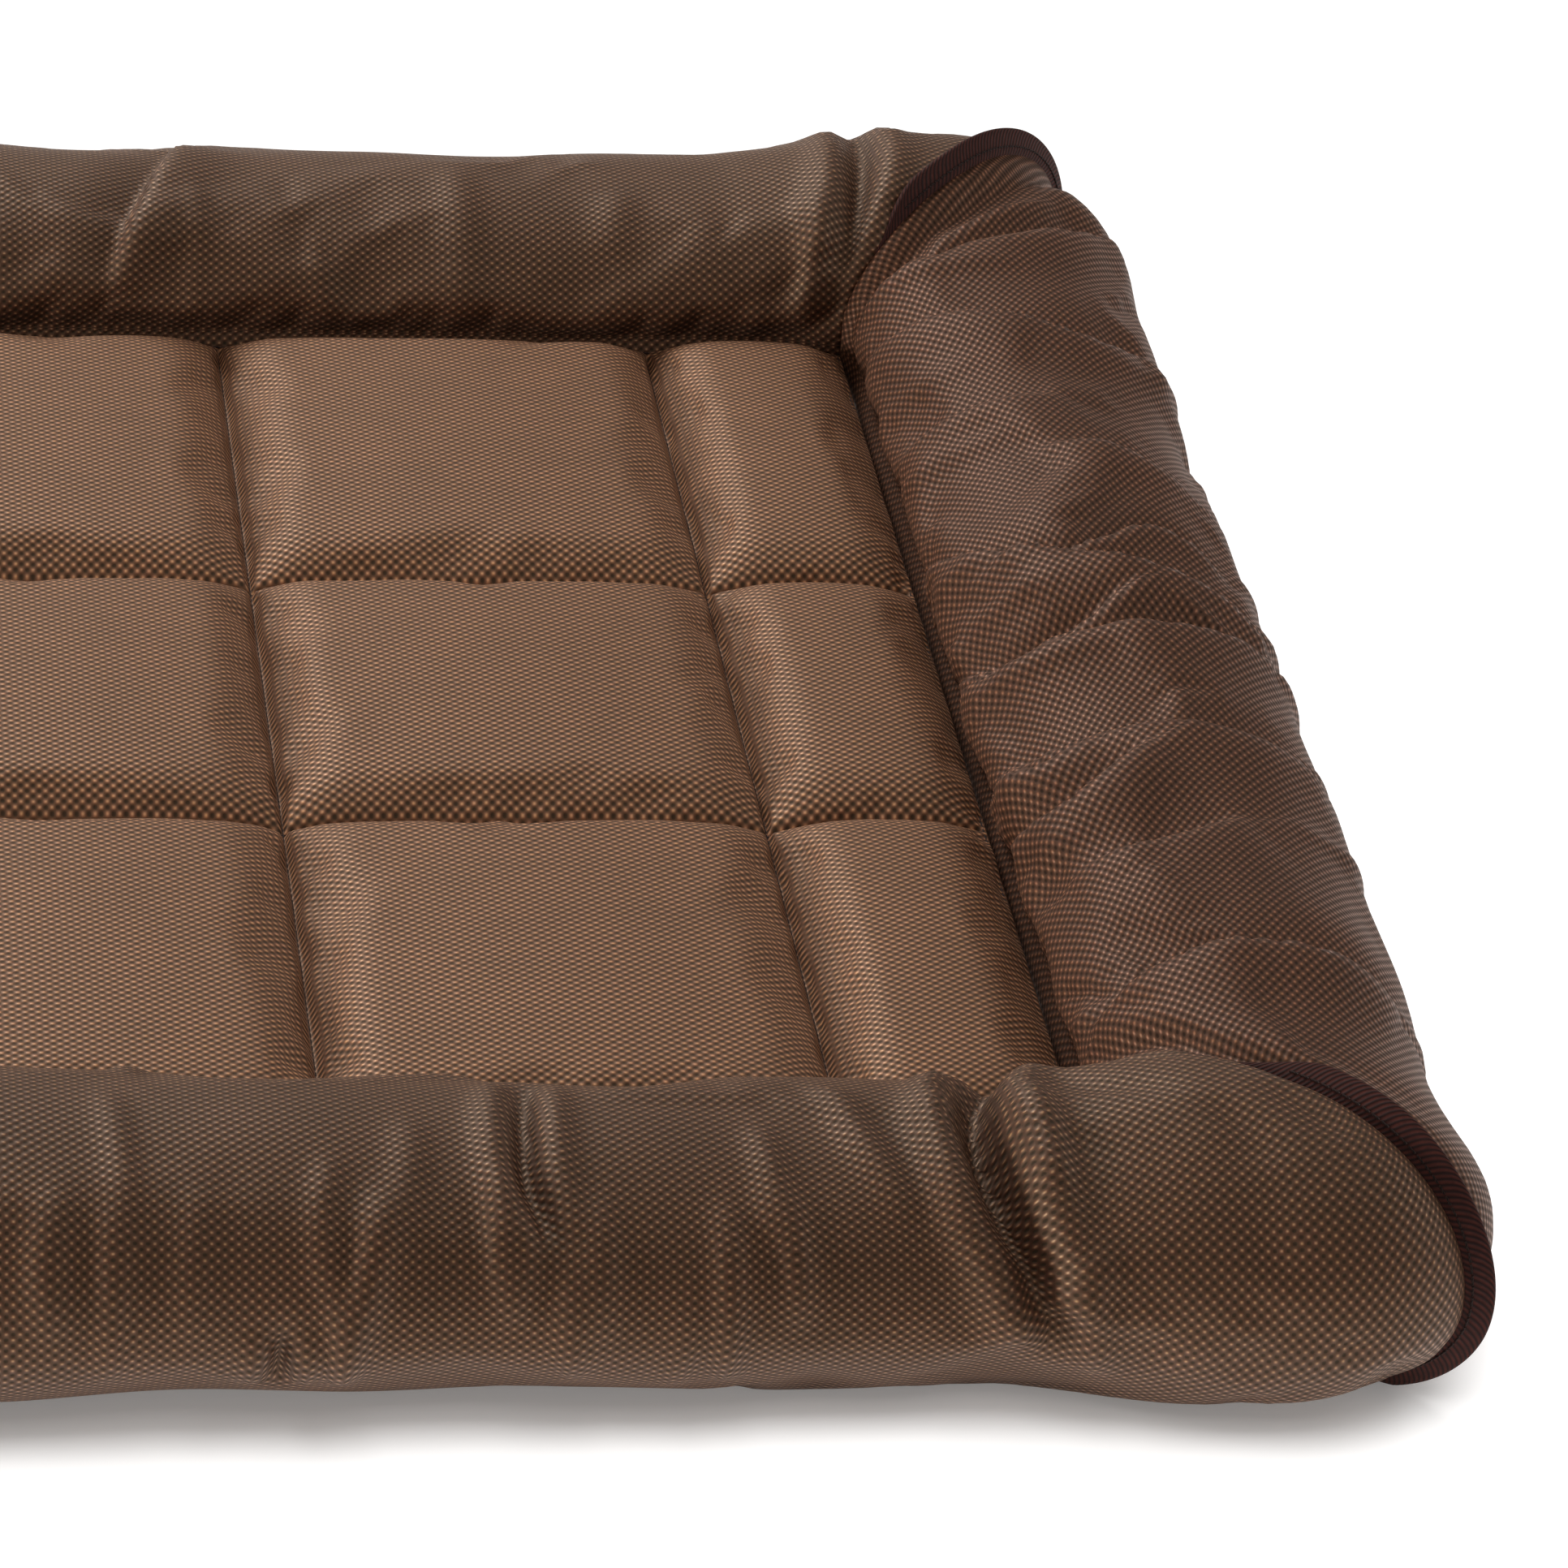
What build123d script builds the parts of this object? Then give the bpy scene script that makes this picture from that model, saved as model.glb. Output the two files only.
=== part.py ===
"""Bolstered pet cushion bed: a quilted mat with four stuffed bolsters sewn round it.

Millimetres, +Z up. The origin is the centre of the underside, on the floor. +X runs along the
bed's length and -Y faces the front. Every piece is written as its own solid to parts/NODE.step.
"""

import os
from math import degrees

from build123d import *

# ---- overall sizes -------------------------------------------------------------------------------
BED_LENGTH = 1067.0  # over the end bolsters, the 42 inch size
BED_DEPTH = 690.0  # over the front and back bolsters
BOLSTER_WIDTH = 102.0  # a 4 inch tube, squashed a little by its own weight
BOLSTER_HEIGHT = 80.0
BOLSTER_PRESS = 4.0  # how far the round tube is pressed flat where it lies on the floor
CORNER_RADIUS = 58.0  # plan radius of the bed's outer corners

# ---- quilted mat ---------------------------------------------------------------------------------
MAT_HEIGHT = 45.0  # crown of a cell above the floor
QUILT_DEPTH = 12.0  # a seam lies this far below the crown
CELL_SHOULDER = 14.0  # run of the slope from a seam up to a cell's flat top
SEAM_WIDTH = 3.0  # flat of cloth pulled down along a seam
FULL_COLUMNS = 5
END_COLUMN_WIDTH = 67.0  # the narrower cell at each end
ROWS = 3
OUTER_ROW_EXTRA = 22.0  # the front and back rows are this much deeper than the middle one

# ---- cloth, tape, thread and clearances ----------------------------------------------------------
FABRIC = 0.9  # coated ballistic nylon
TAPE_PROUD = 10.0  # folded binding tape stands this far out of the corner seam
TAPE_THICKNESS = 2.6  # two layers of tape over two seam allowances, at the outer corner
TAPE_START = 9.0  # distance from the corner's turning axis to the tape's upper end
THREAD = 0.8  # thickness of a sewn line of thread
TAPE_STITCH_INSET = 3.0  # the tape's stitch line, measured out from the bolster
TAPE_STITCH_LIFT = 2.0  # the stitch line ends this far above the floor
CLEARANCE = 0.3  # between soft pieces that lie against each other
CUT_MARGIN = 5.0  # cutting tools reach this far past what they cut

# ---- sizes that follow ---------------------------------------------------------------------------
BOLSTER_HALF_WIDTH = BOLSTER_WIDTH / 2
BOLSTER_SEMI_HEIGHT = (BOLSTER_HEIGHT + BOLSTER_PRESS) / 2
BOLSTER_CENTRE_Z = BOLSTER_SEMI_HEIGHT - BOLSTER_PRESS
CORNER_OFFSET = CORNER_RADIUS - BOLSTER_HALF_WIDTH  # tube's centre line, outward of the corner axis
MAT_HALF_LENGTH = BED_LENGTH / 2 - BOLSTER_WIDTH - CLEARANCE
MAT_HALF_DEPTH = BED_DEPTH / 2 - BOLSTER_WIDTH - CLEARANCE
COLUMN_PITCH = 2 * (MAT_HALF_LENGTH - END_COLUMN_WIDTH) / FULL_COLUMNS
ROW_PITCH = 2 * (MAT_HALF_DEPTH - OUTER_ROW_EXTRA) / ROWS
SEAM_Z = MAT_HEIGHT - QUILT_DEPTH
COLUMN_SEAMS = [(i - FULL_COLUMNS / 2) * COLUMN_PITCH for i in range(FULL_COLUMNS + 1)]
ROW_SEAMS = [(i - ROWS / 2) * ROW_PITCH for i in range(1, ROWS)]

parts = {}


# ---- bolsters ------------------------------------------------------------------------------------
def tube_section(outset, base_z):
    """The bolster's cross-section, grown by outset all round and cut flat at base_z.

    Local X points out of the bed from the tube's centre line, local Y points up.
    """
    oval = Pos(0, BOLSTER_CENTRE_Z) * Ellipse(BOLSTER_HALF_WIDTH + outset, BOLSTER_SEMI_HEIGHT + outset)
    above = Pos(0, base_z + BOLSTER_HEIGHT) * Rectangle(2 * BOLSTER_WIDTH, 2 * BOLSTER_HEIGHT)
    return oval & above


def outward_of(section, distance):
    """The part of a section that lies further out than distance from the tube's centre line."""
    return section & (Pos(distance + BOLSTER_WIDTH, 0) * Rectangle(2 * BOLSTER_WIDTH, 4 * BOLSTER_HEIGHT))


def mitre_cutter(axis_x):
    """A thin upright slab on the mitre plane, which leaves the clearance between two bolsters."""
    reach = 2 * BOLSTER_WIDTH + CORNER_RADIUS
    slab = Box(2 * reach, CLEARANCE, 2 * (BOLSTER_HEIGHT + CUT_MARGIN))
    side = 1 if axis_x > 0 else -1
    return Pos(axis_x, CORNER_OFFSET, 0) * Rot(0, 0, -45 * side) * slab


def bolster_body(axis_x, inset):
    """A whole bolster along X with mitred ends, its skin drawn in by inset. Outward is -Y.

    The tube runs straight between the two corner axes. Past each axis its outer part turns
    through 45 degrees to the mitre plane, and its inner part is cut off on that plane.
    """
    section = tube_section(-inset, inset)
    upright = Plane(origin=(0, 0, 0), x_dir=(0, -1, 0), z_dir=(-1, 0, 0))
    straight = extrude(upright * section, amount=axis_x, both=True)
    inner_edge = BOLSTER_HALF_WIDTH + CUT_MARGIN
    outer_edge = -inner_edge
    inner_x = axis_x - (inner_edge - CORNER_OFFSET)
    outline = Polyline(
        (-axis_x, outer_edge), (axis_x, outer_edge), (axis_x, CORNER_OFFSET),
        (inner_x, inner_edge), (-inner_x, inner_edge), (-axis_x, CORNER_OFFSET), close=True,
    )
    body = straight & extrude(make_face(outline), amount=BOLSTER_HEIGHT + CUT_MARGIN)
    turning = outward_of(section, -CORNER_OFFSET)
    for side in (-1, 1):
        start = Pos(side * axis_x, 0, 0) * (upright * turning)
        corner_axis = Axis((side * axis_x, CORNER_OFFSET, 0), (0, 0, side))
        body = body + revolve(start, axis=corner_axis, revolution_arc=45)
    for side in (-1, 1):
        body = body - mitre_cutter(side * axis_x)
    return body


def make_bolster(side, turn, bed_half_across, bed_half_along):
    """The sewn cover and the stuffing of one bolster, turned to its side of the bed."""
    axis_x = bed_half_along - CORNER_RADIUS
    place = Rot(0, 0, turn) * Pos(0, BOLSTER_HALF_WIDTH - bed_half_across, 0)
    outside = bolster_body(axis_x, 0)
    parts[f"{side}_bolster_cover"] = place * (outside - bolster_body(axis_x, FABRIC))
    parts[f"{side}_bolster_fill"] = place * bolster_body(axis_x, FABRIC + CLEARANCE)


make_bolster("front", 0, BED_DEPTH / 2, BED_LENGTH / 2)
make_bolster("right", 90, BED_LENGTH / 2, BED_DEPTH / 2)
make_bolster("back", 180, BED_DEPTH / 2, BED_LENGTH / 2)
make_bolster("left", 270, BED_LENGTH / 2, BED_DEPTH / 2)


# ---- corner binding tapes and their stitching ----------------------------------------------------
def corner_band(inner, outer, base_z, from_angle, to_angle):
    """A band that follows the outer corner's skin between two outsets, swept through an angle.

    It is made about the corner's turning axis at the origin, with the mitre plane at angle 0.
    """
    band = tube_section(outer, base_z) - tube_section(inner, base_z)
    band = Pos(CORNER_OFFSET, 0) * outward_of(band, TAPE_START - CORNER_OFFSET)
    upright = Plane(origin=(0, 0, 0), x_dir=(1, 0, 0), z_dir=(0, -1, 0))
    swept = revolve(upright * band, axis=Axis.Z, revolution_arc=to_angle - from_angle)
    return Rot(0, 0, from_angle) * swept


def make_corner_tape(corner, x_side, y_side, mitre_angle):
    """The folded tape that binds one corner seam, and the two faces of its line of stitching."""
    edge_radius = CORNER_RADIUS + TAPE_PROUD
    half_tape = degrees(TAPE_THICKNESS / 2 / edge_radius)
    half_stitched = half_tape + degrees(THREAD / edge_radius)
    place = Pos(
        x_side * (BED_LENGTH / 2 - CORNER_RADIUS), y_side * (BED_DEPTH / 2 - CORNER_RADIUS), 0
    ) * Rot(0, 0, mitre_angle)
    parts[f"{corner}_corner_tape"] = place * corner_band(CLEARANCE, TAPE_PROUD, 0, -half_tape, half_tape)
    stitch_outer = TAPE_STITCH_INSET + THREAD
    faces = [
        place * corner_band(TAPE_STITCH_INSET, stitch_outer, TAPE_STITCH_LIFT, low, high)
        for low, high in ((-half_stitched, -half_tape), (half_tape, half_stitched))
    ]
    parts[f"{corner}_corner_tape_thread"] = Compound(children=faces)


make_corner_tape("front_right", 1, -1, -45)
make_corner_tape("back_right", 1, 1, 45)
make_corner_tape("back_left", -1, 1, 135)
make_corner_tape("front_left", -1, -1, -135)


# ---- quilted mat ---------------------------------------------------------------------------------
def quilt_profile(seams, half_span, drop, base_z):
    """The mat's section across a set of seams: flat cell tops, sloped shoulders, flat seams."""
    crown = MAT_HEIGHT - drop
    valley = SEAM_Z - drop
    points = [(-half_span, base_z), (-half_span, valley)]
    edges = [-half_span + SEAM_WIDTH / 2] + seams + [half_span - SEAM_WIDTH / 2]
    for left, right in zip(edges, edges[1:]):
        points.append((left + SEAM_WIDTH / 2, valley))
        points.append((left + SEAM_WIDTH / 2 + CELL_SHOULDER, crown))
        points.append((right - SEAM_WIDTH / 2 - CELL_SHOULDER, crown))
        points.append((right - SEAM_WIDTH / 2, valley))
    points += [(half_span, valley), (half_span, base_z)]
    return make_face(Polyline(*points, close=True))


def mat_block(inset, base_z):
    """The quilted mat as a solid block, drawn in by inset at its sides and its top."""
    half_length = MAT_HALF_LENGTH - inset
    half_depth = MAT_HALF_DEPTH - inset
    across_columns = Plane.XZ * quilt_profile(COLUMN_SEAMS, half_length, inset, base_z)
    across_rows = Plane.YZ * quilt_profile(ROW_SEAMS, half_depth, inset, base_z)
    return extrude(across_columns, amount=half_depth, both=True) & extrude(
        across_rows, amount=half_length, both=True
    )


parts["mat_bottom_panel"] = Pos(0, 0, FABRIC / 2) * Box(2 * MAT_HALF_LENGTH, 2 * MAT_HALF_DEPTH, FABRIC)
parts["mat_top_panel"] = mat_block(0, FABRIC) - mat_block(FABRIC, FABRIC - CUT_MARGIN)
parts["mat_batting"] = mat_block(FABRIC + CLEARANCE, FABRIC + CLEARANCE)


# ---- threads of the quilting and of the mat's border ---------------------------------------------
def thread_run(start, end, across, along_x):
    """A straight line of thread lying on the bottom of a seam."""
    middle = (start + end) / 2
    if along_x:
        return Pos(middle, across, SEAM_Z + THREAD / 2) * Box(end - start, THREAD, THREAD)
    return Pos(across, middle, SEAM_Z + THREAD / 2) * Box(THREAD, end - start, THREAD)


QUILT_END_LENGTH = MAT_HALF_LENGTH - SEAM_WIDTH
QUILT_END_DEPTH = MAT_HALF_DEPTH - SEAM_WIDTH
CROSSING_GAP = THREAD / 2 + CLEARANCE

for name, seam in zip(("front", "back"), ROW_SEAMS):
    parts[f"{name}_row_seam_thread"] = thread_run(-QUILT_END_LENGTH, QUILT_END_LENGTH, seam, True)

stops = [-QUILT_END_DEPTH - CROSSING_GAP] + ROW_SEAMS + [QUILT_END_DEPTH + CROSSING_GAP]
for number, seam in enumerate(COLUMN_SEAMS, start=1):
    runs = [
        thread_run(low + CROSSING_GAP, high - CROSSING_GAP, seam, False)
        for low, high in zip(stops, stops[1:])
    ]
    parts[f"column_seam_thread_{number}"] = Compound(children=runs)

border_length = 2 * MAT_HALF_LENGTH - SEAM_WIDTH
border_depth = 2 * MAT_HALF_DEPTH - SEAM_WIDTH
border = Rectangle(border_length + THREAD, border_depth + THREAD)
border -= Rectangle(border_length - THREAD, border_depth - THREAD)
parts["mat_border_seam_thread"] = Pos(0, 0, SEAM_Z) * extrude(border, amount=THREAD)

# ---- files ---------------------------------------------------------------------------------------
os.makedirs("parts", exist_ok=True)
for node, shape in parts.items():
    export_step(shape, f"parts/{node}.step")
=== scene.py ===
"""Bolstered pet cushion bed: a quilted ballistic-nylon mat with four stuffed bolsters sewn round it.

Metres, +Z up, origin at the centre of the underside. Lengths inside the sections are millimetres
where a name ends in _mm, and MM turns them into metres.
"""

import math

import bmesh
import bpy
import numpy as np
from mathutils import Matrix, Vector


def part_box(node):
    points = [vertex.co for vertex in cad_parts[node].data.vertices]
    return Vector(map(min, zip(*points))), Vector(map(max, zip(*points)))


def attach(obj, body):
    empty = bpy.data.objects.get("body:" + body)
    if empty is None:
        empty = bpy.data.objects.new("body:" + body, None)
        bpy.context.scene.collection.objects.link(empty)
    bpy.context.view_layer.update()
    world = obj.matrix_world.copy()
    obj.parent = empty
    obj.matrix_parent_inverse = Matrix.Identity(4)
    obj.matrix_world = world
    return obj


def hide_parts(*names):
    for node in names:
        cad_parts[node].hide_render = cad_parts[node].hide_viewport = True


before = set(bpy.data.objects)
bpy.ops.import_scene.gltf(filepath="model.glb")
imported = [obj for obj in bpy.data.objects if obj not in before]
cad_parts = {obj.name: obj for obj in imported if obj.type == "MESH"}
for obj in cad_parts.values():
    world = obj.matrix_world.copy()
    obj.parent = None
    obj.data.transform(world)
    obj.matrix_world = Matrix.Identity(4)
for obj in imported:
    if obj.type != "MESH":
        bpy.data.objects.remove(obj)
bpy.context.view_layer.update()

MM = 0.001

# ---- view ----------------------------------------------------------------------------------------
# A long lens from the front, a little left of the bed's right-hand half, looking down at about
# 30 degrees with the camera rolled a few degrees, so that only the right-hand end is in view.
camera_data = bpy.data.cameras.new("camera")
camera_data.sensor_width = 36
camera_data.lens = 154.5
camera = bpy.data.objects.new("camera", camera_data)
bpy.context.scene.collection.objects.link(camera)
turn_right, look_down, roll = (math.radians(a) for a in (10.49, 30.17, 5.56))
camera.matrix_world = (
    Matrix.Translation((0.0505, -1.7873, 1.0626))
    @ Matrix.Rotation(-turn_right, 4, "Z")
    @ Matrix.Rotation(math.pi / 2 - look_down, 4, "X")
    @ Matrix.Rotation(roll, 4, "Z")
)
bpy.context.scene.camera = camera

# ---- floor and studio light ----------------------------------------------------------------------
# A seamless white acrylic sweep, faintly lit from below. A soft box behind the bed and a low one
# on its left rake over the quilting and the folds, and weak ones overhead and on the right fill
# the shadows. The sweep has two lights of its own that keep it white up to the bed.
bpy.context.scene.view_settings.view_transform = "Standard"
bpy.context.scene.view_settings.look = "None"


def linear(code):
    """The linear colour of an sRGB hex code such as "8b6c5a"."""
    channels = [int(code[i : i + 2], 16) / 255 for i in (0, 2, 4)]
    return tuple(c / 12.92 if c <= 0.04045 else ((c + 0.055) / 1.055) ** 2.4 for c in channels) + (1.0,)


def add_node(tree, kind, settings=(), **links):
    """Adds a shader node. Settings are attributes or input values, links are inputs to join."""
    node = tree.nodes.new(kind)
    for key, value in dict(settings).items():
        if isinstance(key, int) or key in node.inputs:
            node.inputs[key].default_value = value
        else:
            setattr(node, key, value)
    for key, source in links.items():
        slot = int(key[1:]) if key[0] == "i" and key[1:].isdigit() else key.replace("_", " ")
        tree.links.new(source, node.inputs[slot])
    return node


def new_material(name):
    """An empty node material with its output, and the tree to fill."""
    material = bpy.data.materials.new(name)
    material.use_nodes = True
    tree = material.node_tree
    tree.nodes.clear()
    return material, tree, tree.nodes.new("ShaderNodeOutputMaterial")


def put_in_scene(name, data):
    """A new object that shows the mesh or light."""
    thing = bpy.data.objects.new(name, data)
    bpy.context.scene.collection.objects.link(thing)
    return thing


def soft_box(name, place, aim, size, watts, sweep_only=False):
    """A square area light at place, turned to face aim, for the bed or for the sweep alone."""
    data = bpy.data.lights.new(name, "AREA")
    data.size = size
    data.energy = watts
    light = put_in_scene(name, data)
    light.location = place
    direction = Matrix.Translation(aim).translation - light.location
    light.rotation_euler = direction.to_track_quat("-Z", "Y").to_euler()
    lit_things = bpy.data.collections.new(f"{name}_receivers")
    lit_things.objects.link(sweep)
    light.light_linking.receiver_collection = lit_things
    lit_things.collection_objects[0].light_linking.link_state = "INCLUDE" if sweep_only else "EXCLUDE"


sweep_material, tree, output = new_material("matt_white_acrylic_sweep")
paper = add_node(tree, "ShaderNodeBsdfDiffuse", {"Color": linear("fdfdfd"), "Roughness": 0.6})
glow = add_node(tree, "ShaderNodeEmission", {"Color": linear("ffffff"), "Strength": 0.16})
lit = add_node(tree, "ShaderNodeAddShader", i0=paper.outputs[0], i1=glow.outputs[0])
tree.links.new(lit.outputs[0], output.inputs["Surface"])
sweep_mesh = bpy.data.meshes.new("sweep")
reach = 9.0
sweep_mesh.from_pydata(
    [(-reach, -reach, 0), (reach, -reach, 0), (reach, reach, 0), (-reach, reach, 0)], [], [(0, 1, 2, 3)]
)
sweep_mesh.materials.append(sweep_material)
sweep = put_in_scene("sweep", sweep_mesh)

soft_box("key_soft_box", (-0.8, 2.4, 2.2), (0.1, 0.0, 0.0), 1.4, 60)
soft_box("top_soft_box", (0.3, -0.3, 2.4), (0.2, 0.0, 0.0), 1.5, 6)
soft_box("left_soft_box", (-2.6, -0.6, 0.6), (0.3, -0.2, 0.0), 0.6, 46)
soft_box("right_soft_box", (2.3, 0.1, 0.9), (0.4, 0.0, 0.0), 0.9, 7)
soft_box("front_sweep_soft_box", (0.3, -1.45, 2.3), (0.3, -0.5, 0.0), 1.5, 18, sweep_only=True)
soft_box("top_sweep_soft_box", (0.5, -0.85, 2.8), (0.5, -0.3, 0.0), 2.0, 62, sweep_only=True)
world = bpy.data.worlds.new("studio")
bpy.context.scene.world = world
world.use_nodes = True
world.node_tree.nodes["Background"].inputs["Color"].default_value = linear("fffaf5")
world.node_tree.nodes["Background"].inputs["Strength"].default_value = 0.27

# ---- ballistic nylon -----------------------------------------------------------------------------
# Heavy brown filament nylon, woven so that satin yarns stand up between pits, with the pits painted dark as
# shade and the crowns painted light as highlights. The weave is drawn on the cloth's flat coordinates, so
# it follows every fold. The mat's panels use a copy of the same cloth with lighter tones, as painted light,
# and the most shine; the end bolsters use a copy with darker yarn crowns, as painted shade, and less shine.
CLOTH_MAP = "cloth_mm"  # the flat coordinates, in millimetres
WEFT_MM = 1.82
WARP_MM = 1.41
WEAVE_RELIEF_MM = 0.4
MOTTLES_PER_MM = 0.045
STREAKS_PER_MM = (0.02, 0.7)
DYE_PATCHES_PER_MM = 0.32


def ballistic_nylon(name, tones, shine, shine_tint):
    """Woven nylon. Tones run from the pits, at 0, painted dark as shade, to the crowns of the yarns, at 1,
    painted light as highlights.
    """
    material, tree, output = new_material(name)
    flat = add_node(tree, "ShaderNodeUVMap", {"uv_map": CLOTH_MAP})
    axes = add_node(tree, "ShaderNodeSeparateXYZ", Vector=flat.outputs[0])
    waves = []
    for axis, pitch in ((0, WEFT_MM), (1, WARP_MM)):
        phase = add_node(tree, "ShaderNodeMath", {"operation": "MULTIPLY", 1: math.pi / pitch},
                         i0=axes.outputs[axis])
        waves.append(add_node(tree, "ShaderNodeMath", {"operation": "SINE"}, i0=phase.outputs[0]))
    crossing = add_node(tree, "ShaderNodeMath", {"operation": "MULTIPLY"},
                        i0=waves[0].outputs[0], i1=waves[1].outputs[0])
    lift = add_node(tree, "ShaderNodeMapRange", {"From Min": -1.0}, Value=crossing.outputs[0])
    # The ramp colours the weave by yarn height: near black in the pits as painted shade, pale on the crowns
    # as painted highlights.
    weave_and_painted_shading = add_node(tree, "ShaderNodeValToRGB", i0=lift.outputs[0])
    steps = weave_and_painted_shading.color_ramp.elements
    steps[0].position, steps[1].position = tones[0][0], tones[-1][0]
    for place, _ in tones[1:-1]:
        steps.new(place)
    for step, (_, code) in zip(steps, tones):
        step.color = linear(code)
    mottle = add_node(tree, "ShaderNodeTexNoise",
                      {"Scale": MOTTLES_PER_MM, "Detail": 4.0, "Roughness": 0.6},
                      Vector=flat.outputs[0])
    streaks = add_node(tree, "ShaderNodeMapping", {"Scale": (*STREAKS_PER_MM, 1.0)},
                       Vector=flat.outputs[0])
    streak = add_node(tree, "ShaderNodeTexNoise", {"Scale": 1.0, "Detail": 2.0}, Vector=streaks.outputs[0])
    shade = add_node(tree, "ShaderNodeMath", {"operation": "MULTIPLY"},
                     i0=mottle.outputs["Fac"], i1=streak.outputs["Fac"])
    tone = add_node(tree, "ShaderNodeMapRange",
                    {"From Min": 0.12, "From Max": 0.4, "To Min": 0.86, "To Max": 1.16},
                    Value=shade.outputs[0])
    from_gap = add_node(tree, "ShaderNodeMath", {"operation": "ABSOLUTE"}, i0=crossing.outputs[0])
    gap_shade = add_node(tree, "ShaderNodeMapRange", {"From Max": 0.28, "To Min": 0.74},
                         Value=from_gap.outputs[0])
    dye = add_node(tree, "ShaderNodeTexNoise", {"Scale": DYE_PATCHES_PER_MM, "Detail": 1.0},
                   Vector=flat.outputs[0])
    hue = add_node(tree, "ShaderNodeMix",
                   {"data_type": "RGBA", 6: linear("ffe4ea"), 7: linear("ffecc8")},
                   i0=dye.outputs["Fac"])
    colour = weave_and_painted_shading.outputs["Color"]
    for change in (tone.outputs[0], gap_shade.outputs[0], hue.outputs[2]):
        changed = add_node(tree, "ShaderNodeMix",
                           {"data_type": "RGBA", "blend_type": "MULTIPLY", 0: 1.0},
                           i6=colour, i7=change)
        colour = changed.outputs[2]
    bump = add_node(tree, "ShaderNodeBump", {"Strength": 0.7, "Distance": WEAVE_RELIEF_MM * MM},
                    Height=lift.outputs[0])
    rough = add_node(tree, "ShaderNodeMapRange", {"To Min": 0.8, "To Max": 0.42}, Value=lift.outputs[0])
    cloth = add_node(tree, "ShaderNodeBsdfPrincipled",
                     {"Specular IOR Level": shine, "IOR": 1.53, "Specular Tint": linear(shine_tint),
                      "Sheen Weight": 0.06, "Sheen Roughness": 0.35, "Sheen Tint": linear("e0b090")},
                     Base_Color=colour, Roughness=rough.outputs[0], Normal=bump.outputs[0])
    tree.links.new(cloth.outputs[0], output.inputs["Surface"])
    return material


# A copy of the cloth with lighter tones, as painted light, and more shine, for the mat's panels.
nylon_painted_light = ballistic_nylon(
    "brown_woven_ballistic_nylon_painted_light",
    tones=[(0.0, "0a0403"), (0.2, "20130d"), (0.42, "5a3e2e"), (0.68, "7a5a46"), (0.86, "aa8164"),
           (1.0, "dab28a")],
    shine=1.1, shine_tint="ffd4ac",
)
nylon = ballistic_nylon(
    "brown_woven_ballistic_nylon",
    tones=[(0.0, "0a0302"), (0.16, "180d08"), (0.36, "402920"), (0.68, "4c332a"), (0.86, "6e503f"),
           (1.0, "ab8f70")],
    shine=0.75, shine_tint="ffdab2",
)
# A copy of the cloth with darker yarn crowns, as painted shade, and less shine, for the end bolsters.
nylon_painted_shade = ballistic_nylon(
    "brown_woven_ballistic_nylon_painted_shade",
    tones=[(0.0, "0a0402"), (0.16, "190d09"), (0.36, "402b21"), (0.68, "4e372b"), (0.86, "715140"),
           (1.0, "9e7860")],
    shine=0.55, shine_tint="ffcaa6",
)

# ---- bolster covers ------------------------------------------------------------------------------
# Four tubes of the nylon with mitred ends, each closed along the mat's border seam and stuffed
# firm. Cloth gathered into the border and corner seams leaves folds that run up over the tube.
FABRIC_MM = 0.9
CORNER_RADIUS_MM = 58.0
TUBE_HEIGHT_MM = 76.0
TUBE_PRESS_MM = 2.0
TUBE_TAPER = 0.96  # the cross-section's outline, 1 for an ellipse and less for a fuller one
TUBE_FOOT_TAPER = 1.2  # the same below the outer face's widest line, where it draws in
AROUND = 60  # quads round a tube in the simulation, twice as many in the finished cloth
RUN_STEP_MM = 5.2  # length of a simulated quad along a tube
BALL_MM = 8.0  # how far the stuffing swells the corners
RIDGE_STRENGTH = 1.5
ROLL_STRENGTH = 1.35
SIMULATED_MOMENTS = range(1, 21)
COVER_SHIFT_MM = 1.5  # the most that the simulation may move a cover

half_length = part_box("right_bolster_cover")[1].x / MM
half_depth = -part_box("front_bolster_cover")[0].y / MM
tube_width = (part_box("front_bolster_cover")[1].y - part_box("front_bolster_cover")[0].y) / MM


def tube_section(count):
    """The tube's cross-section from the border seam over the top: out, up and distance along it."""
    angle = np.linspace(math.pi, -math.pi, 721)
    taper = np.where((np.sin(angle) < 0) & (np.cos(angle) > 0), TUBE_FOOT_TAPER, TUBE_TAPER)
    semi_height = (TUBE_HEIGHT_MM + TUBE_PRESS_MM) / 2
    out = (tube_width / 2 - 0.5) * np.sign(np.cos(angle)) * np.abs(np.cos(angle)) ** taper
    up = semi_height * (1 + np.sign(np.sin(angle)) * np.abs(np.sin(angle)) ** taper) - TUBE_PRESS_MM
    up = 1.6 * np.logaddexp(0, up / 1.6) - 0.3  # pressed flat where it lies on the floor
    along = np.concatenate([[0], np.cumsum(np.hypot(np.diff(out), np.diff(up)))])
    stops = np.linspace(0, along[-1], count + 1)[:-1]
    return np.interp(stops, along, out), np.interp(stops, along, up), stops, along[-1]


def smooth_step(low, high, value):
    share = np.clip((value - low) / (high - low), 0, 1)
    return share * share * (3 - 2 * share)


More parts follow.
